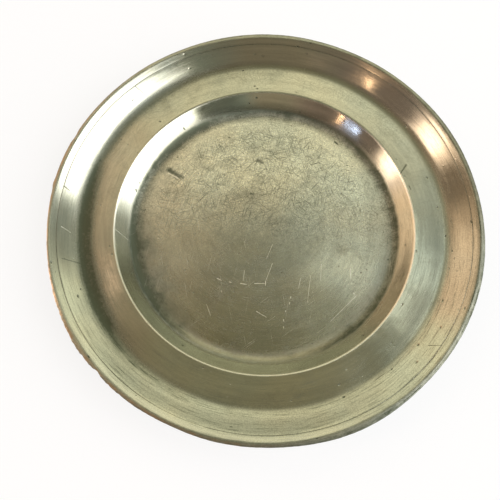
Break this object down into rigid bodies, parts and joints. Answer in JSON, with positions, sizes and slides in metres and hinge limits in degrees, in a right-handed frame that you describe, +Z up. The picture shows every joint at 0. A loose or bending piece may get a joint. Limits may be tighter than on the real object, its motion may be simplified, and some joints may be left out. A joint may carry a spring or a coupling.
{
  "type": "pewter plate",
  "caption": "Round pewter plate with a sunken well, a flat flange and a rising rim edged by a soldered band, for serving or showing food.",
  "frame": {"origin": "centre of the underside, on the surface that the plate stands on", "axes": "+Z up along the plate's axis of turning, out of the well; X and Y lie in the plane of the plate"},
  "size_m": [0.24, 0.24, 0.0214],
  "materials": {
    "dish_pewter": "worn satin pewter with lathe marks, fine scratches and dark tarnish",
    "band_pewter": "worn satin pewter, scuffed along the outer edge",
    "solder": "dull solder"
  },
  "bodies": {
    "root": {"dish": "dish_pewter", "rim_band": "band_pewter", "rim_solder": "solder"}
  },
  "joints": []
}
